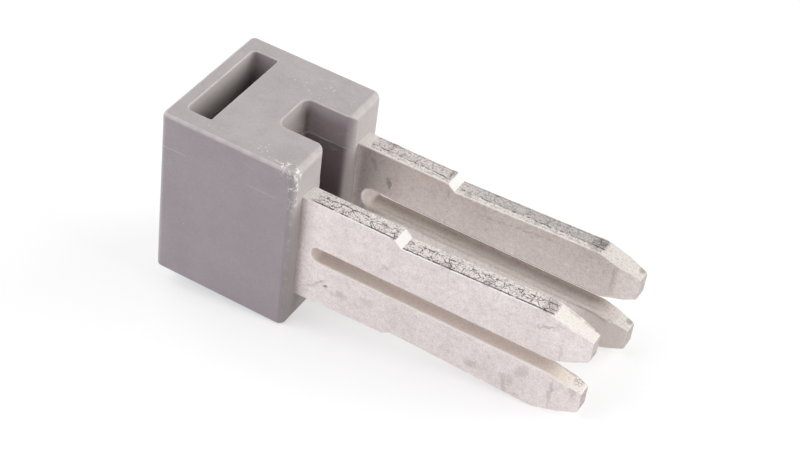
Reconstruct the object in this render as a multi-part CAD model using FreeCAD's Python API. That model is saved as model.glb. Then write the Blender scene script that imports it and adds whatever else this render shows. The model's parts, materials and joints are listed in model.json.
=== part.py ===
import FreeCAD, Part
import math
import os

# Plug-in jumper for two neighbouring terminal blocks: a stamped U-shaped contact bar moulded into a
# grey insulating housing. +X is the way the legs plug in, +Y runs across the pitch, +Z is up.
# Lengths along X are counted from the rear face of the housing, and the whole is moved at the end so
# that the origin is at the middle of its footprint.

V = FreeCAD.Vector

# Contact bar
pitch = 16.0                    # from leg to leg, which is the width of one terminal block
bar_thickness = 3.4             # strip that the bar is stamped from
bar_height = 19.3               # width of the strip, upright in the housing
bar_underside = 5.0             # height of its lower edge over the underside of the housing
bridge_rear = 9.0               # rear face of the bridge from the rear face of the housing
bend_inner_radius = 2.0         # inside of the bend between bridge and leg
leg_reach = 48.15               # from the front face of the housing to the end of the tines
rollover = 0.25                 # rounded stamping edge of the outline on the inner faces
slot_rollover = 0.8             # the same round the slot, which is pierced from the inner face
burr_edge = 0.12                # nearly sharp stamping edge on the outer faces

# Tines
slot_start = 2.2                # from the front face of the housing to the round end of the slot
slot_width = 2.75               # gap between the two tines
slot_middle = 9.6               # middle of the slot over the lower edge of the bar
neck_start = 15.75              # from the front face of the housing to the step in the edges
neck_run = 1.2                  # length of the sloping step
upper_step = 1.05               # how far the upper edge steps in
lower_step = 0.75               # how far the lower edge steps in
lower_lean = 0.6                # how far the lower edge rises between the housing and the step
upper_flare = 1.0               # how far the upper edge rises again up to the tip
lower_flare = 0.75              # how far the lower edge falls again up to the tip
tip_chamfer_length = 6.9        # chamfers on the outer edges of the tips, along X
upper_tip_drop = 2.2            # how far the upper one falls towards the end
lower_tip_rise = 2.45           # how far the lower one rises towards the end
gap_chamfer_length = 5.4        # chamfers beside the slot, along X
upper_gap_rise = 2.35           # how far the one over the slot rises towards the end
lower_gap_drop = 1.5            # how far the one under the slot falls towards the end
tip_thickness = 2.2             # what is left of the strip at the end of a tine
tip_taper_length = 3.5          # over which the strip thins down
tip_corner = 0.6                # round corners of the blunt end
crest_round = 3.0               # bend of the edge where a chamfer begins
neck_round = 0.35               # corners of the sloping step

# Housing
housing_length = 23.7
housing_width = 24.8
housing_height = 30.35
rear_corner = 1.1               # upright edges at the rear
front_corner = 1.1              # upright outer edges at the front of the arms
arm_inner_corner = 1.6          # upright edges where the notch opens
flare_past = 0.03               # how far these rounds run past the front face, to meet it in an edge
top_edge = 0.75                 # rounded edges of the top at the sides and the rear
front_top_edge = 1.3            # rounded edge of the top at the front of the arms
bottom_edge = 0.3               # rounded edge round the underside

# Notch between the arms
notch_width = 7.6
notch_depth = 8.4               # from the front face to its rear wall
notch_corner = 1.5              # upright inner corners
notch_edge = 0.3                # rounded rim in the top
parting_ledge = 0.15            # how much wider the notch is above the parting line

# Tool slot in the top
tool_slot_rear = 2.4            # from the rear face of the housing
tool_slot_length = 4.4          # along X
tool_slot_width = 18.3          # along Y
tool_slot_depth = 16.0
tool_slot_rear_corner = 0.9     # upright corners at the rear
tool_slot_front_corner = 0.25   # upright corners towards the notch
tool_slot_edge = 0.3            # rounded rim

# Worked out from the above
overall_length = housing_length + leg_reach
bar_top = bar_underside + bar_height
leg_outer = (pitch + bar_thickness) / 2
leg_inner = (pitch - bar_thickness) / 2
bend_outer_radius = bend_inner_radius + bar_thickness
bend_centre_x = bridge_rear + bend_outer_radius
parting_height = bar_top
notch_rear = housing_length - notch_depth


def wire_through(points):
    """A closed straight-sided wire through the points."""
    return Part.makePolygon(points + points[:1])


def prism(points, along):
    """The closed outline through the points, extruded by the vector."""
    return Part.Face(wire_through(points)).extrude(along)


def edges_at(shape, test):
    """The edges whose box passes the test."""
    return [e for e in shape.Edges if test(e.BoundBox)]


def rounded_edges(shape, radii_of):
    """Rounds each edge from one radius to another, as the rule gives them, or leaves it where it gives none."""
    work = FreeCAD.newDocument("rounding")
    base = work.addObject("Part::Feature", "base")
    base.Shape = shape
    rounding = work.addObject("Part::Fillet", "rounding")
    rounding.Base = base
    radii = [(n, radii_of(e)) for n, e in enumerate(shape.Edges, start=1)]
    rounding.Edges = [(n, r[0], r[1]) for n, r in radii if r]
    work.recompute()
    rounded = rounding.Shape.copy()
    FreeCAD.closeDocument(work.Name)
    return rounded


def leg_outline():
    """Side view of one leg with its two tines, from the end of the bend to the tips, as (x, z) points."""
    neck = housing_length + neck_start
    after_neck = neck + neck_run
    tip = housing_length + leg_reach
    upper_neck = bar_top - upper_step
    lower_neck = bar_underside + lower_lean + lower_step
    upper_crest = upper_neck + upper_flare
    lower_crest = lower_neck - lower_flare
    slot_z = bar_underside + slot_middle
    slot_top = slot_z + slot_width / 2
    slot_bottom = slot_z - slot_width / 2
    crest_x = tip - tip_chamfer_length
    mouth_x = tip - gap_chamfer_length
    outline = [
        (bend_centre_x, bar_underside),
        (housing_length, bar_underside),
        (neck, bar_underside + lower_lean),
        (after_neck, lower_neck),
        (crest_x, lower_crest),
        (tip, lower_crest + lower_tip_rise),
        (tip, slot_bottom - lower_gap_drop),
        (mouth_x, slot_bottom),
        (mouth_x, slot_top),
        (tip, slot_top + upper_gap_rise),
        (tip, upper_crest - upper_tip_drop),
        (crest_x, upper_crest),
        (after_neck, upper_neck),
        (neck, bar_top),
        (bend_centre_x, bar_top),
    ]
    return outline, slot_z, mouth_x


def across(shape, x_low, x_high):
    """The edges that cross the strip along Y between two places along X."""
    return edges_at(
        shape,
        lambda b: b.YLength > bar_thickness / 2
        and b.XLength < 1e-6
        and b.XMin > x_low
        and b.XMax < x_high,
    )


def soft_corners(blank):
    """Rounds the blunt ends, the starts of the chamfers and the sloping steps in the outline."""
    tip = housing_length + leg_reach
    neck = housing_length + neck_start
    chamfer_starts = tip - max(tip_chamfer_length, gap_chamfer_length)
    blank = blank.makeFillet(tip_corner, across(blank, tip - 1e-3, tip + 1e-3))
    blank = blank.makeFillet(crest_round, across(blank, chamfer_starts - 1e-3, tip - tip_taper_length / 2))
    return blank.makeFillet(neck_round, across(blank, neck - 1e-3, neck + neck_run + 1e-3))


def leg_blank():
    """One leg standing between y = 0, its inner face, and y = bar_thickness, its outer face."""
    outline, slot_z, mouth_x = leg_outline()
    blank = prism([V(x, 0, z) for x, z in outline], V(0, bar_thickness, 0))
    radius = slot_width / 2
    slot_x = housing_length + slot_start + radius
    slot = Part.makeBox(mouth_x - slot_x, bar_thickness, slot_width, V(slot_x, 0, slot_z - radius))
    slot = slot.fuse(Part.makeCylinder(radius, bar_thickness, V(slot_x, 0, slot_z), V(0, 1, 0)))
    return soft_corners(blank.cut(slot).removeSplitter())


def rounded_stamping(blank):
    """Rolls over the edges of the inner face, more so round the slot, and breaks those of the outer face."""
    slot_z = bar_underside + slot_middle
    slot_end = housing_length + leg_reach - gap_chamfer_length + crest_round / 2

    def radius_at(point):
        in_slot = point.x < slot_end and abs(point.z - slot_z) < slot_width
        return slot_rollover if in_slot else rollover

    def radii_of(edge):
        box = edge.BoundBox
        if box.XMax < bend_centre_x + 1e-3:
            return None
        if box.YMin > bar_thickness - 1e-6:
            return burr_edge, burr_edge
        if box.YMax < 1e-6:
            return radius_at(edge.firstVertex().Point), radius_at(edge.lastVertex().Point)
        return None

    return rounded_edges(blank, radii_of)


def thinned_tip(leg):
    """Takes a wedge off each face, so that the tines end thinner than the strip."""
    tip = housing_length + leg_reach
    start = tip - tip_taper_length
    bite = (bar_thickness - tip_thickness) / 2
    past = bite / tip_taper_length
    for face_y, inward in ((0, 1), (bar_thickness, -1)):
        wedge = prism(
            [
                V(start, face_y, 0),
                V(tip + 1, face_y + inward * (bite + past), 0),
                V(tip + 1, face_y - inward, 0),
                V(start, face_y - inward, 0),
            ],
            V(0, 0, housing_height),
        )
        leg = leg.cut(wedge)
    return leg


def bend(side):
    """A quarter of a ring, from the bridge to the leg on one side."""
    centre = V(bend_centre_x, side * (leg_outer - bend_outer_radius), bar_underside)
    ring = Part.makeCylinder(bend_outer_radius, bar_height, centre)
    ring = ring.cut(Part.makeCylinder(bend_inner_radius, bar_height, centre))
    reach = bend_outer_radius + 1
    corner = V(centre.x - reach, centre.y if side > 0 else centre.y - reach, bar_underside)
    return ring.common(Part.makeBox(reach, reach, bar_height, corner))


def contact_bar():
    leg = thinned_tip(rounded_stamping(leg_blank()))
    far_leg = leg.translated(V(0, leg_inner, 0))
    near_leg = far_leg.mirror(V(0, 0, 0), V(0, 1, 0))
    half_bridge = leg_outer - bend_outer_radius
    bridge = Part.makeBox(
        bar_thickness, 2 * half_bridge, bar_height, V(bridge_rear, -half_bridge, bar_underside)
    )
    return bridge.multiFuse([bend(1), bend(-1), far_leg, near_leg]).removeSplitter()


def notch_cutter(grow, z0, z1):
    """What the notch takes away between two heights: rounded corners inside and a flare at its mouth."""
    half = notch_width / 2 + grow
    rear = notch_rear - grow
    mouth = housing_length + flare_past
    past = housing_length + 1
    inner, flare = notch_corner, arm_inner_corner

    def rounded_corner(corner, start, end):
        """A quarter arc from start to end, round the centre that faces the corner."""
        centre = V(start[0] + end[0] - corner[0], start[1] + end[1] - corner[1], 0)
        out = V(corner[0], corner[1], 0) - centre
        middle = centre + out * (1 / math.sqrt(2))
        return Part.Arc(V(*start, 0), middle, V(*end, 0)).toShape()

    def straight(start, end):
        return Part.LineSegment(V(*start, 0), V(*end, 0)).toShape()

    edges = [straight((rear, -half + inner), (rear, half - inner))]
    for side in (1, -1):
        wall = side * half
        lip = side * (half + flare)
        edges += [
            rounded_corner((rear, wall), (rear, wall - side * inner), (rear + inner, wall)),
            straight((rear + inner, wall), (mouth - flare, wall)),
            rounded_corner((mouth, wall), (mouth - flare, wall), (mouth, lip)),
            straight((mouth, lip), (past, lip)),
        ]
    edges.append(straight((past, half + flare), (past, -half - flare)))
    outline = Part.Face(Part.Wire(Part.__sortEdges__(edges)))
    return outline.extrude(V(0, 0, z1 - z0)).translated(V(0, 0, z0))


def notch():
    """The space between the arms, a small ledge wider above the parting line than below it."""
    past = 1.0
    lower = notch_cutter(0, -past, parting_height)
    upper = notch_cutter(parting_ledge, parting_height, housing_height + past)
    return lower.fuse(upper)


def tool_slot():
    """The pocket in the top that a screwdriver reaches into to lever the jumper out."""
    floor = V(tool_slot_rear, -tool_slot_width / 2, housing_height - tool_slot_depth)
    pocket = Part.makeBox(tool_slot_length, tool_slot_width, tool_slot_depth + 1, floor)
    middle = tool_slot_rear + tool_slot_length / 2
    rear = edges_at(pocket, lambda b: b.ZLength > tool_slot_depth and b.XMax < middle)
    pocket = pocket.makeFillet(tool_slot_rear_corner, rear)
    front = edges_at(pocket, lambda b: b.ZLength > tool_slot_depth and b.XMin > middle and b.YLength < 1e-6)
    return pocket.makeFillet(tool_slot_front_corner, front)


def block_radii(edge):
    """The radius of each edge of the plain block, the same at both of its ends."""
    box = edge.BoundBox
    if box.ZLength > housing_height / 2:
        radius = rear_corner if box.XMax < housing_length / 2 else front_corner
    elif box.ZMax < housing_height / 2:
        radius = bottom_edge
    else:
        radius = front_top_edge if box.XMin > housing_length / 2 else top_edge
    return radius, radius


def insulating_housing(bar):
    block = Part.makeBox(housing_length, housing_width, housing_height, V(0, -housing_width / 2, 0))
    body = rounded_edges(block, block_radii).cut(notch())
    inside = housing_width / 2 - top_edge - front_corner
    notch_rim = edges_at(
        body,
        lambda b: b.ZMin > housing_height - 1e-6
        and b.XMin > notch_rear - 2 * parting_ledge
        and b.XMax < housing_length - 1e-3
        and max(abs(b.YMin), abs(b.YMax)) < inside,
    )
    body = body.makeFillet(notch_edge, notch_rim)
    body = body.cut(tool_slot())
    slot_rim = edges_at(
        body,
        lambda b: b.ZMin > housing_height - 1e-6
        and b.XMin > tool_slot_rear - 1e-3
        and b.XMax < tool_slot_rear + tool_slot_length + 1e-3,
    )
    body = body.makeFillet(tool_slot_edge, slot_rim)
    return body.cut(bar)


def main():
    os.makedirs("parts", exist_ok=True)
    bar = contact_bar()
    pieces = {"contact_bar": bar, "insulating_housing": insulating_housing(bar)}
    to_middle = V(-overall_length / 2, 0, 0)
    for name, solid in pieces.items():
        placed = solid.translated(to_middle)
        placed.exportStep("parts/" + name + ".step")
        print(name, len(placed.Solids), "solids, valid", placed.isValid(), "volume", round(placed.Volume, 1))


main()
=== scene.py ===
"""Looks of the terminal block jumper bar: its materials, the floor, the lights and the camera."""
import json
import math
from functools import reduce

import bpy
from mathutils import Matrix, Vector


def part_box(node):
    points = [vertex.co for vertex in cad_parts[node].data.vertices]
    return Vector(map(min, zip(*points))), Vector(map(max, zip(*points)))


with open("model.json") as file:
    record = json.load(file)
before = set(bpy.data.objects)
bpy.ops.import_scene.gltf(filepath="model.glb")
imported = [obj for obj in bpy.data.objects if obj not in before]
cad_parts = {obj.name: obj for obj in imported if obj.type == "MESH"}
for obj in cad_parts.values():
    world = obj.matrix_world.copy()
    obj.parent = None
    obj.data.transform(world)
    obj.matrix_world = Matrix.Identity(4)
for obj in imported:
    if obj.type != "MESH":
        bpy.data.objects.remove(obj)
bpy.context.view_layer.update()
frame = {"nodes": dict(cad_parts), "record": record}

MM = 0.001


# Places on the CAD model, in mm in the row frame

mounts = {mount["name"]: Vector(mount["pos_m"]) / MM for mount in frame["record"]["mounts"]}
front = mounts["near_arm_front"].x
tool_slot_x = mounts["tool_slot"].x
slot_z = mounts["far_leg"].z
leg_y = mounts["far_leg"].y
housing_high = Vector(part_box("insulating_housing")[1]) / MM
side, top = housing_high.y, housing_high.z
bar_high = Vector(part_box("contact_bar")[1]) / MM
leg_thickness = 2 * (bar_high.y - leg_y)
leg_inner = bar_high.y - leg_thickness

# Sizes of the CAD model that the frame doesn't give, in mm

leg_slot_width = 2.75
notch_width, notch_depth = 7.6, 8.4
tool_slot_length, tool_slot_width, tool_slot_depth = 4.4, 18.3, 16.0


# Shader arithmetic


class Number:
    """A number that varies over the surface, combined with ordinary arithmetic."""

    def __init__(self, nodes, socket):
        self.nodes = nodes
        self.socket = socket

    def combine(self, kind, *others, others_first=False):
        """One step of arithmetic with this number and the others."""
        node = self.nodes.add("ShaderNodeMath", operation=kind)
        terms = [*others, self] if others_first else [self, *others]
        for slot, term in zip(node.inputs, terms):
            self.nodes.feed(slot, term)
        return Number(self.nodes, node.outputs[0])

    def __add__(self, other):
        return self.combine("ADD", other)

    def __sub__(self, other):
        return self.combine("SUBTRACT", other)

    def __rsub__(self, other):
        return self.combine("SUBTRACT", other, others_first=True)

    def __mul__(self, other):
        return self.combine("MULTIPLY", other)

    def __truediv__(self, other):
        return self.combine("DIVIDE", other)

    def __abs__(self):
        return self.combine("ABSOLUTE")

    __radd__ = __add__
    __rmul__ = __mul__

    def larger(self, other):
        return self.combine("MAXIMUM", other)

    def smaller(self, other):
        return self.combine("MINIMUM", other)

    def swing(self, width):
        """A number from 0 to 1 moved to lie round 0, over that width."""
        return (self - 0.5) * width

    def mapped(self, low, high, start, end, blend="LINEAR"):
        """start up to low, end from high on, and a blend of them between."""
        node = self.nodes.add("ShaderNodeMapRange", interpolation_type=blend)
        self.nodes.feed(node.inputs["Value"], self)
        for name, value in (("From Min", low), ("From Max", high), ("To Min", start), ("To Max", end)):
            node.inputs[name].default_value = value
        return Number(self.nodes, node.outputs[0])

    def rise(self, low, high):
        """0 below low, 1 above high and smooth between; with low above high it falls."""
        if low > high:
            return self.mapped(high, low, 1.0, 0.0, "SMOOTHSTEP")
        return self.mapped(low, high, 0.0, 1.0, "SMOOTHSTEP")

    def near(self, centre, inside, outside):
        """1 within a distance of the centre, 0 beyond a larger one."""
        return abs(self - centre).rise(outside, inside)

    def choose(self, below, above):
        """The number below where this one is 0, and the one above where it is 1."""
        return below + (above - below) * self


class Nodes:
    """The node tree of a material or a world, emptied to be built anew."""

    def __init__(self, owner):
        owner.use_nodes = True
        self.tree = owner.node_tree
        self.tree.nodes.clear()

    def add(self, kind, **settings):
        node = self.tree.nodes.new(kind)
        for name, value in settings.items():
            setattr(node, name, value)
        return node

    def feed(self, slot, value):
        """Sets an input to a constant, or links it to a number or a socket."""
        if isinstance(value, Number):
            value = value.socket
        if isinstance(value, bpy.types.NodeSocket):
            self.tree.links.new(value, slot)
        else:
            slot.default_value = value

    def parts(self, vector):
        """The three components of a vector or colour."""
        node = self.add("ShaderNodeSeparateXYZ")
        self.feed(node.inputs[0], vector)
        return [Number(self, out) for out in node.outputs]

    def scaled(self, vector, factor):
        """A vector or colour times a number."""
        node = self.add("ShaderNodeVectorMath", operation="SCALE")
        self.feed(node.inputs[0], vector)
        self.feed(node.inputs["Scale"], factor)
        return node.outputs[0]


class Surface(Nodes):
    """One procedural material, which the functions below call g. Places are in mm in the row frame."""

    def __init__(self, name):
        self.material = bpy.data.materials.new(name)
        super().__init__(self.material)
        self.shader = self.add("ShaderNodeBsdfPrincipled")
        output = self.add("ShaderNodeOutputMaterial")
        self.feed(output.inputs["Surface"], self.shader.outputs[0])
        coordinates = self.add("ShaderNodeTexCoord")
        self.place = self.scaled(coordinates.outputs["Object"], 1 / MM)
        self.x, self.y, self.z = self.parts(self.place)
        self.nx, self.ny, self.nz = self.parts(coordinates.outputs["Normal"])

    def stretched(self, sx, sy, sz):
        """The place with each axis scaled, so that a pattern runs along the axis with the small factor."""
        node = self.add("ShaderNodeVectorMath", operation="MULTIPLY")
        self.feed(node.inputs[0], self.place)
        node.inputs[1].default_value = (sx, sy, sz)
        return node.outputs[0]

    def noise(self, scale, detail=2.0, roughness=0.5, distortion=0.0, place=None):
        """Noise from 0 to 1 with about scale lumps per mm."""
        node = self.add("ShaderNodeTexNoise")
        self.feed(node.inputs["Vector"], place or self.place)
        node.inputs["Scale"].default_value = scale
        node.inputs["Detail"].default_value = detail
        node.inputs["Roughness"].default_value = roughness
        node.inputs["Distortion"].default_value = distortion
        return Number(self, node.outputs["Fac"])

    def dots(self, scale, radius, share):
        """Round specks of a radius in mm, in a share of the cells of a loose grid."""
        node = self.add("ShaderNodeTexVoronoi")
        self.feed(node.inputs["Vector"], self.place)
        node.inputs["Scale"].default_value = scale
        chance = self.parts(node.outputs["Color"])[0]
        distance = Number(self, node.outputs["Distance"]) / scale
        return distance.rise(radius * 1.3, radius * 0.6) * chance.rise(share + 0.01, share)

    def cracks(self, scale, width, place=None):
        """Thin lines of a width in mm between the cells of a loose grid."""
        node = self.add("ShaderNodeTexVoronoi", feature="DISTANCE_TO_EDGE")
        self.feed(node.inputs["Vector"], place or self.place)
        node.inputs["Scale"].default_value = scale
        return (Number(self, node.outputs["Distance"]) / scale).rise(width, width * 0.3)

    def spot(self, a, b, centre, radii, turn=0.0):
        """A soft elliptical spot in the plane of two coordinates, turned by some degrees."""
        cos, sin = math.cos(math.radians(turn)), math.sin(math.radians(turn))
        da, db = a - centre[0], b - centre[1]
        u = (da * cos + db * sin) / radii[0]
        v = (db * cos - da * sin) / radii[1]
        return (u * u + v * v).rise(1.0, 0.0)

    def mix(self, share, below, above):
        """The colour below where share is 0, and the one above where it is 1."""
        node = self.add("ShaderNodeMix", data_type="RGBA")
        self.feed(node.inputs[0], share)
        for slot, colour in ((node.inputs[6], below), (node.inputs[7], above)):
            self.feed(slot, (*colour, 1.0) if isinstance(colour, tuple) else colour)
        return node.outputs[2]

    def bump(self, height):
        """The normal after a relief of that height in mm."""
        node = self.add("ShaderNodeBump")
        node.inputs["Strength"].default_value = 1.0
        node.inputs["Distance"].default_value = MM
        self.feed(node.inputs["Height"], height)
        return node.outputs[0]

    def finish(self, colour, roughness, relief, **others):
        """Feeds the shader, others by their names with _ for a space, and gives back the material."""
        self.feed(self.shader.inputs["Base Color"], colour)
        self.feed(self.shader.inputs["Roughness"], roughness)
        self.feed(self.shader.inputs["Normal"], self.bump(relief))
        for name, value in others.items():
            self.feed(self.shader.inputs[name.replace("_", " ")], value)
        return self.material


# Moulded housing


def housing_tone(g, grain):
    """Light grey, with painted light and shade by facing: warmer on the ends and darker on the top; with fine
    grain, faint flow and streaks.
    """
    mottle = g.noise(0.22, 3.0).rise(0.3, 0.7)
    # Painted light and shade by facing: the sides, the lighter ends and the darker top each get their own
    # tone.
    sides = g.mix(mottle, (0.426, 0.379, 0.399), (0.450, 0.404, 0.423))
    ends = g.mix(mottle, (0.428, 0.392, 0.384), (0.452, 0.416, 0.408))
    upper = g.mix(mottle, (0.376, 0.344, 0.342), (0.408, 0.375, 0.372))
    painted_facing_tone = g.mix(g.nz.rise(0.4, 0.9), g.mix(abs(g.nx).rise(0.4, 0.9), sides, ends), upper)
    flow = g.noise(0.5, 3.0, place=g.stretched(0.25, 0.25, 1.0))
    streaks = g.noise(1.3, 4.0, 0.7, place=g.stretched(0.6, 1.0, 1.0))
    return g.scaled(painted_facing_tone, 1.0 + grain.swing(0.36) + flow.swing(0.08) + streaks.swing(0.22) * g.nz)


def painted_hollow_shade_and_scratches(g, colour):
    """Painted shade inside the notch and the tool slot, darker and warmer further in, with scratches high on
    the notch's walls.
    """
    notch_half, notch_rear = notch_width / 2, front - notch_depth
    in_notch = g.y.near(0.0, notch_half - 0.2, notch_half + 0.4)
    in_notch = in_notch * g.x.rise(notch_rear - 0.375, notch_rear + 0.125) * g.z.rise(top - 0.3, top - 3.0)
    # Painted shade in the notch, stronger on its side walls and lower down.
    notch = in_notch * (0.34 + abs(g.ny).rise(0.5, 0.9) * 0.5 + g.z.rise(22.0, 14.0) * 0.23)

    slot_long, slot_wide, slot_floor = tool_slot_length / 2, tool_slot_width / 2, top - tool_slot_depth
    in_slot = g.x.near(tool_slot_x, slot_long - 0.1, slot_long + 0.2)
    in_slot = in_slot * g.y.near(0.0, slot_wide - 0.15, slot_wide + 0.15)
    # Painted shade in the tool slot, deeper down and towards its far side.
    deep = g.z.rise(top - 1.5, top - 8.0) * g.z.rise(slot_floor - 0.75, slot_floor - 0.35)
    tool_slot = in_slot * deep * (0.55 + g.y.rise(0.0, 7.0) * 0.165)

    colour = g.mix(notch + tool_slot, colour, (0.09, 0.05, 0.05))
    scratches = g.noise(1.5, 4.0, 0.7, 0.4, place=g.stretched(0.22, 1.0, 1.0)).rise(0.55, 0.63)
    return g.mix(scratches * in_notch * g.z.rise(20.0, 25.0) * 0.4, colour, (0.52, 0.48, 0.47))


def parting_line(g, wall):
    """The line round the walls where the mould closed: broken up, and in two pieces on the near side."""
    upper_edge_of_bar = bar_high.z
    wander = g.noise(0.35, 2.0).swing(0.35)
    line = (g.z + wander).near(upper_edge_of_bar, 0.03, 0.14) * wall
    broken = g.noise(0.28, 2.0, place=g.stretched(1.0, 1.0, 0.1)).rise(0.42, 0.52)
    rear_piece, front_piece = g.x.near(-33.3, 1.8, 2.4), g.x.near(-17.8, 2.0, 2.8)
    return line * g.ny.rise(-0.5, -0.8).choose(broken, rear_piece.larger(front_piece))


def corner_highlight_and_scuff(g, colour, wall):
    """The near front corner: a thin painted highlight all the way down, and chipped pale where it meets the
    top.
    """
    dx, dy = g.x - front + 0.25, g.y + side - 0.25
    squared = dx * dx + dy * dy
    # Painted highlight, broken up, along the rounded vertical corner.
    painted_corner_highlight = squared.rise(0.25, 0.06) * wall * (0.08 + g.noise(0.9, 4.0, 0.7).rise(0.5, 0.62) * 0.35)
    colour = g.mix(painted_corner_highlight, colour, (0.70, 0.66, 0.65))
    down_corner = squared.rise(1.4, 0.15) * g.z.rise(21.5, 26.5)
    along_top = g.spot(g.x, g.y, (front - 1.2, 0.9 - side), (3.6, 1.3)) * g.z.rise(top - 2.2, top - 0.6)
    patches = g.noise(1.7, 5.0, 0.72, 0.6, place=g.stretched(1.0, 1.0, 0.55)).rise(0.50, 0.57)
    scuff = down_corner.larger(along_top) * patches
    return g.mix(scuff * 0.9, colour, (0.92, 0.90, 0.86)), scuff


def pale_specks(g, colour):
    """Small pale specks: two clusters on the top, a row beside the near front corner and a few all over."""
    near_cluster = g.spot(g.x, g.y, (-18.0, -9.4), (3.4, 2.6))
    far_cluster = g.spot(g.x, g.y, (-19.5, 7.4), (7.0, 3.4))
    specks = g.dots(1.35, 0.13, 0.5) * near_cluster.larger(far_cluster).rise(0.0, 0.3)
    by_corner = g.y.near(-side, 0.1, 0.5) * g.x.near(front - 0.8, 0.4, 1.0)
    specks = specks + g.dots(0.45, 0.12, 0.12) + g.dots(0.55, 0.14, 0.5) * by_corner
    return g.mix(specks.smaller(1.0) * 0.5, colour, (0.80, 0.77, 0.74))


def moulded_polyamide():
    """Light grey polyamide with a fine moulded grain, painted highlights on the rounded top edges, painted
    shade in the hollows, a parting line, a scuff and specks.
    """
    g = Surface("moulded_polyamide")
    grain = g.noise(3.5, 3.0, 0.65)
    wall = abs(g.nz).rise(0.4, 0.15)
    colour = housing_tone(g, grain)

    round_top = g.nz.rise(0.2, 0.55) * g.nz.rise(0.995, 0.9)
    # Painted highlight along the rounded top edges, weaker where they turn towards the ends.
    painted_edge_highlight = round_top * (0.55 + g.noise(0.8, 4.0).rise(0.3, 0.6) * 0.45)
    colour = g.mix(painted_edge_highlight * (0.8 - g.nx.rise(0.1, 0.4) * 0.35), colour, (0.62, 0.58, 0.57))

    colour = painted_hollow_shade_and_scratches(g, colour)
    line = parting_line(g, wall)
    colour = g.mix(line * 0.7, colour, (0.64, 0.60, 0.60))
    colour, scuff = corner_highlight_and_scuff(g, colour, wall)
    colour = pale_specks(g, colour)

    roughness = 0.52 + g.noise(1.2, 3.0).swing(0.14) - painted_edge_highlight * 0.06 + scuff * 0.15
    relief = grain.swing(0.018) + g.noise(0.6, 2.0) * 0.03 + line * 0.05 + scuff * 0.05
    return g.finish(colour, roughness, relief, IOR=1.53, Specular_IOR_Level=0.32)


# Tin plated contact bar

white_glint = (0.985, 0.955, 0.925)
dirt = (0.22, 0.18, 0.17)

# Single marks on the outer face of the near leg and the inner face of the far leg.
# Each has its place along the leg and its height, half its length and width, its turn in degrees and
# its strength.
face_marks = {
    "near": (
        (-6.86, 9.37, 0.30, 0.26, 0, 0.95),
        (-7.9, 9.75, 1.1, 0.20, 40, 0.45),
        (-9.2, 8.3, 1.2, 0.35, 30, 0.25),
        (-4.1, 9.0, 0.9, 0.7, 0, 0.30),
        (-5.6, 8.6, 0.5, 0.4, 0, 0.22),
        (0.5, 10.0, 1.1, 0.7, 20, 0.22),
        (18.5, 8.2, 0.9, 0.7, 0, 0.24),
        (24.5, 8.6, 1.2, 0.9, 10, 0.26),
        (26.5, 11.3, 0.8, 1.3, -30, 0.30),
        (24.2, 6.9, 0.35, 1.5, 20, 0.30),
        (31.3, 9.9, 0.25, 2.6, 0, 0.28),
        (28.7, 21.6, 1.5, 0.22, 30, 0.42),
        (34.6, 12.0, 0.5, 1.2, 0, 0.30),
        (31.6, 18.2, 0.2, 2.2, 0, 0.18),
        (2.6, 18.3, 0.5, 0.35, 0, 0.30),
    ),
    "far": (
        (-6.25, 19.3, 0.40, 1.0, 10, 0.50),
        (3.8, 22.3, 0.2, 0.7, 0, 0.25),
        (-9.0, 21.5, 1.2, 0.3, -60, 0.25),
        (15.5, 21.85, 6.4, 0.12, 7, 0.26),
        (11.0, 21.4, 0.5, 0.3, 0, 0.25),
        (31.8, 20.5, 0.2, 2.2, 0, 0.24),
        (20.0, 18.0, 2.4, 0.9, 20, 0.08),
    ),
}

# Stains on the upper edges: place along the leg and through it, and half sizes.
edge_stains = {
    "both": ((2.9, 0.75, 0.55, 0.6), (28.2, 0.6, 1.4, 0.8)),
    "near": ((18.5, 0.75, 0.8, 0.35), (12.0, 0.8, 1.2, 0.3)),
    "far": ((-7.4, 0.72, 0.45, 0.42), (18.2, 0.2, 0.45, 0.2)),
}


class BarSurface(Surface):
    """The surface of the bar. The depth through a leg is 0 at its inner face and 1 at its outer face."""

    def __init__(self, name):
        super().__init__(name)
        self.depth = (abs(self.y) - leg_inner) / leg_thickness
        self.far = self.y.rise(-1.0, 1.0)
        self.inward = self.depth.rise(0.3, 0.1)
        self.sheared = 1.0 - abs(self.ny).rise(0.75, 0.97)
        self.grain = self.noise(4.2, 3.0, 0.75)


def frosted_plating(g):
    """The plating on the broad faces: rosy outside, warmer inside, cloudy, with flecks and fine hairs."""
    smudge = g.noise(0.16, 4.0, 0.6).rise(0.35, 0.65)
    rosy = g.mix(smudge, (0.695, 0.63, 0.618), (0.75, 0.689, 0.676))
    warm = g.mix(smudge, (0.775, 0.712, 0.69), (0.825, 0.765, 0.742))
    cloud = g.noise(1.1, 4.0, 0.65)
    paler = g.x.rise(6.0, -10.0) * (0.07 + g.inward * 0.19) - g.inward * g.x.rise(20.0, 32.0) * 0.08
    colour = g.scaled(g.mix(g.inward, rosy, warm), 1.0 + g.grain.swing(0.85) + cloud.swing(0.42) + paler)
    flecks = g.noise(2.9, 4.0, 0.75, place=g.stretched(0.7, 1.0, 1.0)).rise(0.57, 0.67)
    colour = g.mix(flecks * 0.34, colour, (0.93, 0.89, 0.87))
    hairs = g.noise(1.0, 2.0, 0.4, 0.25, place=g.stretched(0.5, 1.0, 2.6)).near(0.5, 0.004, 0.012)
    colour = g.mix(hairs * g.noise(0.5, 2.0).rise(0.5, 0.62) * 0.4, colour, (0.92, 0.88, 0.86))
    return colour, cloud


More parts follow.
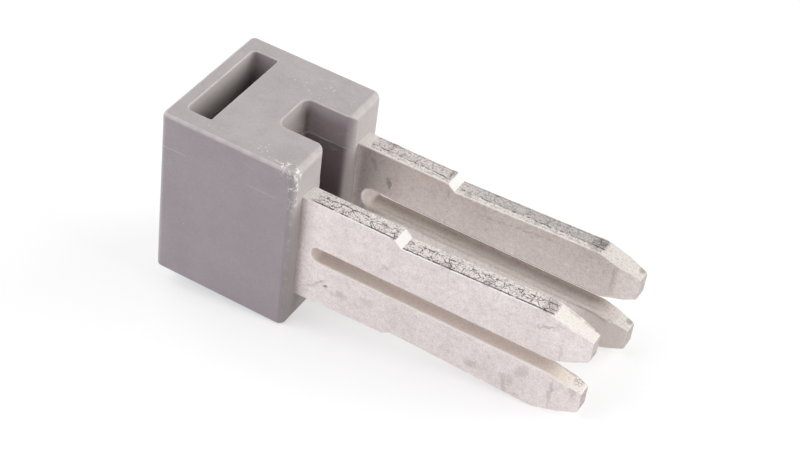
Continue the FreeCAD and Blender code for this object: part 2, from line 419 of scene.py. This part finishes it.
def rolled_faces(g):
    """The broad faces of the legs: plating with blots, dots, dirt at the housing, marks and a dull tip."""
    colour, cloud = frosted_plating(g)
    blots = g.noise(0.42, 5.0, 0.66, 0.5).rise(0.58, 0.74)
    colour = g.mix(blots * 0.34, colour, (0.36, 0.31, 0.30))
    colour = g.mix(g.dots(0.5, 0.12, 0.12) * 0.5, colour, dirt)
    colour = g.mix(g.dots(1.3, 0.10, 0.4) * g.x.rise(-5.0, -11.0) * 0.4, colour, dirt)

    along = g.x + g.noise(1.3, 4.0, 0.6).swing(1.6)
    high = g.z + g.noise(1.5, 4.0, 0.6).swing(1.6)
    faces = {"near": (1.0 - g.far) * (1.0 - g.inward), "far": g.far * g.inward}
    soft_rim = 1.5
    for leg, marks in face_marks.items():
        for x, z, long, wide, turn, strength in marks:
            mark = g.spot(along, high, (x, z), (long * soft_rim, wide * soft_rim), turn)
            colour = g.mix(mark * faces[leg] * strength * (0.5 + g.grain), colour, (0.25, 0.205, 0.19))
    dull_tip = faces["far"] * g.z.rise(14.0, 13.0) * g.x.rise(25.0, 31.0)
    return g.mix(dull_tip * (0.25 + cloud * 0.5), colour, (0.40, 0.325, 0.29))


def stained(g):
    """How strongly the single stains cover the upper edges."""
    along = g.x + g.noise(1.2, 4.0, 0.65).swing(1.8)
    across = g.depth + g.noise(1.4, 4.0, 0.65).swing(0.5)
    legs = {"both": 1.0, "near": 1.0 - g.far, "far": g.far}
    spots = [
        g.spot(along, across, (x, depth), (long, wide)) * legs[leg]
        for leg, stains in edge_stains.items()
        for x, depth, long, wide in stains
    ]
    return (reduce(Number.larger, spots) * g.nz.rise(0.5, 0.8) * 1.5).smaller(1.0)


def sheared_edges(g, pits):
    """The narrow faces cut by the die: a burnished band, then torn metal, with dark lines and stains."""
    torn = g.mix(g.noise(0.5, 3.0).rise(0.3, 0.7), (0.84, 0.775, 0.75), (0.93, 0.87, 0.845))
    far_shade = g.far * (0.13 + g.x.rise(2.0, 14.0) * 0.17)
    torn = g.scaled(torn, 1.0 + g.grain.swing(0.8) - far_shade)
    torn = g.mix(pits * (0.93 - g.far * 0.38), torn, (0.055, 0.045, 0.04))
    burnished = g.scaled((0.87, 0.81, 0.775), 1.0 + g.grain.swing(0.6) - g.far * 0.04)
    burnished = g.mix(pits * 0.5, burnished, (0.12, 0.10, 0.09))
    ragged = g.depth + g.noise(0.9, 3.0).swing(0.20)
    edges = g.mix(ragged.rise(0.28, 0.36), burnished, torn)

    seam = ragged.near(0.33, 0.01, 0.05) * g.noise(0.8, 3.0, 0.65).rise(0.47, 0.56)
    rim = (g.depth + g.noise(1.6, 3.0).swing(0.06)).near(0.885, 0.02, 0.05)
    rim = rim * g.noise(0.5, 3.0).rise(0.36, 0.48) * (1.0 - g.far * 0.65)
    edges = g.mix((seam + rim).smaller(1.0) * 0.85, edges, (0.05, 0.04, 0.035))
    glint = g.depth.rise(0.925, 0.95).larger(g.depth.rise(0.08, 0.04) * 0.7)
    edges = g.mix(glint, edges, white_glint)

    edges = g.mix(stained(g) * (0.26 + pits * 0.45), edges, (0.08, 0.06, 0.055))
    clean = (g.x + g.noise(0.9, 2.0).swing(1.6)).rise(front + 2.4, front + 1.2)
    return g.mix(clean, edges, g.scaled((0.93, 0.885, 0.85), 1.0 + g.grain.swing(0.8)))


def pitted(g):
    """Coarse and fine pits and thin cracks, from 0 to 1."""
    coarse = g.noise(3.3, 5.0, 0.8).rise(0.545, 0.60)
    fine = g.noise(5.5, 3.0, 0.7).rise(0.57, 0.62)
    network = g.cracks(0.9, 0.08, g.stretched(0.7, 1.0, 1.0)) * g.noise(1.0, 3.0, 0.6).rise(0.44, 0.52)
    return coarse.larger(network * 0.75).larger(fine * 0.6)


def slopes_with_painted_highlight(g):
    """The chamfers and thinned tips, bright with a painted highlight and darker on the far leg as painted
    shade, with stains all over and a few single ones.
    """
    near_tip = g.spot(g.x, g.depth, (35.1, 0.1), (0.5, 0.16))
    side_strip = g.depth.near(0.12, 0.05, 0.12) * g.x.rise(29.5, 31.5) * g.noise(1.1, 3.0).rise(0.35, 0.5)
    scribble = g.spot(g.x, g.depth, (34.5, 0.3), (0.9, 0.35)) * g.cracks(2.2, 0.06) * g.z.rise(14.0, 13.0)
    far_tip = g.spot(g.x, g.depth, (35.2, 0.75), (0.7, 0.25))
    on_near = (near_tip * 0.8).larger(side_strip * 0.4).larger(scribble) * (1.0 - g.far)
    on_both = g.noise(2.2, 5.0, 0.78).rise(0.55, 0.64) * (0.30 + g.far * 0.42)
    stains = on_both.larger(on_near).larger(far_tip * g.far * 0.75)
    # Painted highlight on the slopes, with less of it on the far leg as painted shade.
    bright = g.scaled((0.95, 0.888, 0.84), 1.0 + g.grain.swing(0.6) - g.far * 0.14)
    return g.mix(stains, bright, (0.42, 0.365, 0.33))


def slot_walls(g, mouth, slopes):
    """The walls between the tines: painted shade through the leg, a painted highlight at the round end and a
    painted glint on the near lip, and bright like the slopes at the mouth.
    """
    through = g.depth + g.noise(0.5, 2.0).swing(0.1)
    # Painted shade: the near wall darker towards the inner face, the far wall darker towards the outer face.
    near_wall = g.mix(through.rise(0.35, 1.0), (0.70, 0.618, 0.578), (0.86, 0.785, 0.745))
    far_wall = g.mix(through.rise(0.10, 0.75), (0.84, 0.775, 0.735), (0.46, 0.385, 0.345))
    walls = g.scaled(g.mix(g.far, near_wall, far_wall), 1.0 + g.grain.swing(0.5))
    # Painted highlight at the round end of the slot.
    round_end_highlight = g.x.rise(-5.2, -6.8) * g.nx.rise(0.2, 0.7)
    walls = g.mix(round_end_highlight * (0.35 + g.far * 0.3), walls, (0.92, 0.87, 0.84))
    near_lip_glint = g.depth.rise(0.87, 0.92) * (1.0 - g.far)
    return g.mix(mouth, g.mix(near_lip_glint, walls, white_glint), slopes)


def plated_copper():
    """Satin tin plating, with a look for each of: faces, edges, slopes, steps, blunt ends, slot walls."""
    g = BarSurface("plated_copper")
    pits = pitted(g)
    slopes = slopes_with_painted_highlight(g)

    slope = g.nx.rise(0.14, 0.28) * g.nx.rise(0.9, 0.8) * g.sheared
    edges = g.mix(slope, sheared_edges(g, pits), slopes)
    # Painted highlight on the step at the neck.
    step = g.nx.near(0.6, 0.12, 0.25) * g.sheared * g.x.rise(12.0, 10.0)
    edges = g.mix(step, edges, g.scaled((0.985, 0.965, 0.935), 1.0 + g.grain.swing(0.2)))
    blunt = g.scaled((0.585, 0.53, 0.516), 1.0 + g.grain.swing(0.5))
    blunt = g.mix(g.noise(1.6, 4.0, 0.7).rise(0.53, 0.64) * 0.5, blunt, (0.26, 0.21, 0.19))
    edges = g.mix(g.nx.rise(0.85, 0.95), edges, blunt)

    in_slot = g.z.near(slot_z, leg_slot_width / 2 + 0.8, leg_slot_width / 2 + 0.9)
    mouth = (g.x + g.noise(0.7, 3.0).swing(1.5)).rise(28.6, 33.0)
    edges = g.mix(in_slot, edges, slot_walls(g, mouth, slopes))

    colour = g.mix(g.sheared, rolled_faces(g), edges)
    shaded_lip = g.nz.rise(-0.15, -0.6) * g.x.rise(-6.2, -4.6) * in_slot * (1.0 - mouth) * g.far
    colour = g.mix(shaded_lip * 0.9, colour, (0.27, 0.22, 0.20))
    roughness = 0.40 + g.grain.swing(0.16) + g.sheared * (0.08 + pits * 0.2 + in_slot * 0.2)
    relief = g.grain.swing(0.02) - pits * g.sheared * (1.0 - slope) * (1.0 - in_slot) * 0.04
    return g.finish(colour, roughness, relief, Metallic=1.0 - shaded_lip)


# Camera, floor and lights


def make_camera():
    """The camera, with the place, turn and lens that were solved from the photo."""
    eye = Vector((91.77, -201.70, 211.36)) * MM
    forward = Vector((-0.31357, 0.68568, -0.65690)).normalized()
    right = Vector((0.86006, 0.49829, 0.10957)).normalized()
    up = right.cross(forward)
    lens = bpy.data.cameras.new("camera")
    lens.sensor_width = 36.0
    lens.lens = 88.04
    lens.clip_start = 0.01
    lens.clip_end = 10.0
    camera = bpy.data.objects.new("camera", lens)
    turn = Matrix((right, up, -forward)).transposed()
    camera.matrix_world = Matrix.Translation(eye) @ turn.to_4x4()
    bpy.context.scene.collection.objects.link(camera)
    bpy.context.scene.camera = camera


def pale_floor():
    """A matt floor with a glow that only the camera and the metal see. It is clear from below."""
    material = bpy.data.materials.new("pale_floor")
    nodes = Nodes(material)
    matt = nodes.add("ShaderNodeBsdfDiffuse")
    nodes.feed(matt.inputs["Color"], (0.5, 0.5, 0.5, 1.0))

    rays = nodes.add("ShaderNodeLightPath").outputs
    seen = Number(nodes, rays["Is Camera Ray"]).larger(rays["Is Glossy Ray"])
    distance = nodes.add("ShaderNodeVectorMath", operation="LENGTH")
    nodes.feed(distance.inputs[0], nodes.add("ShaderNodeTexCoord").outputs["Object"])
    # The lamps light the floor near the jumper, so the glow is weaker there than where they don't reach.
    near_by, far_off = 0.2, 1.2
    weak, full = 0.52, 1.0
    level = Number(nodes, distance.outputs["Value"]).mapped(near_by, far_off, weak, full)
    glow = nodes.add("ShaderNodeEmission")
    nodes.feed(glow.inputs["Strength"], seen * level)

    both = nodes.add("ShaderNodeAddShader")
    nodes.feed(both.inputs[0], matt.outputs[0])
    nodes.feed(both.inputs[1], glow.outputs[0])
    shown = nodes.add("ShaderNodeMixShader")
    nodes.feed(shown.inputs[0], nodes.add("ShaderNodeNewGeometry").outputs["Backfacing"])
    nodes.feed(shown.inputs[1], both.outputs[0])
    nodes.feed(shown.inputs[2], nodes.add("ShaderNodeBsdfTransparent").outputs[0])
    output = nodes.add("ShaderNodeOutputMaterial")
    nodes.feed(output.inputs["Surface"], shown.outputs[0])
    return material


def make_floor():
    """A floor under what the jumper rests on: the front edges of its arms and the tips of its lower tines."""
    half = 1.5
    rise_to_tips = math.radians(7.7)
    clearance = 0.05
    corners = [(-half, -half, 0), (half, -half, 0), (half, half, 0), (-half, half, 0)]
    mesh = bpy.data.meshes.new("floor")
    mesh.from_pydata(corners, [], [(0, 1, 2, 3)])
    floor = bpy.data.objects.new("floor", mesh)
    floor.data.materials.append(pale_floor())
    floor.location = (front * MM, 0, -clearance * MM)
    floor.rotation_euler = (0, -rise_to_tips, 0)
    bpy.context.scene.collection.objects.link(floor)


def make_world():
    """A white surround: full white to the camera, to gloss and through glass, softer as light."""
    world = bpy.data.worlds.new("studio")
    bpy.context.scene.world = world
    nodes = Nodes(world)
    rays = nodes.add("ShaderNodeLightPath").outputs
    seen = Number(nodes, rays["Is Camera Ray"])
    for name in ("Is Glossy Ray", "Is Transmission Ray"):
        seen = seen.larger(rays[name])
    background = nodes.add("ShaderNodeBackground")
    nodes.feed(background.inputs["Color"], (1.0, 1.0, 1.0, 1.0))
    strength_as_light, strength_seen = 0.24, 1.0
    nodes.feed(background.inputs["Strength"], seen.mapped(0.0, 1.0, strength_as_light, strength_seen))
    output = nodes.add("ShaderNodeOutputWorld")
    nodes.feed(output.inputs["Surface"], background.outputs[0])


def softbox(name, towards, power, colour=(1.0, 1.0, 1.0)):
    """A large square lamp in a direction from the jumper, facing it."""
    lamp = bpy.data.lights.new(name, "AREA")
    lamp.shape = "SQUARE"
    lamp.size = 1.2
    lamp.energy = power
    lamp.color = colour
    box = bpy.data.objects.new(name, lamp)
    direction = Vector(towards).normalized()
    distance = 0.9
    middle_of_jumper = Vector((0, 0, 0.015))
    box.location = direction * distance + middle_of_jumper
    box.rotation_mode = "QUATERNION"
    box.rotation_quaternion = direction.to_track_quat("Z", "Y")
    box.visible_camera = False
    box.visible_glossy = False
    bpy.context.scene.collection.objects.link(box)


materials = {"insulating_housing": moulded_polyamide(), "contact_bar": plated_copper()}
for node, material in materials.items():
    frame["nodes"][node].material_slots[0].material = material

make_camera()
make_floor()
make_world()
softbox("left", (-0.80, 0.05, 0.60), 4.4)
softbox("near_left", (-0.75, -0.50, 0.43), 6.6, (0.99, 0.96, 1.0))
softbox("ahead", (0.82, 0.44, 0.35), 17.0)

bpy.context.scene.view_settings.view_transform = "Standard"
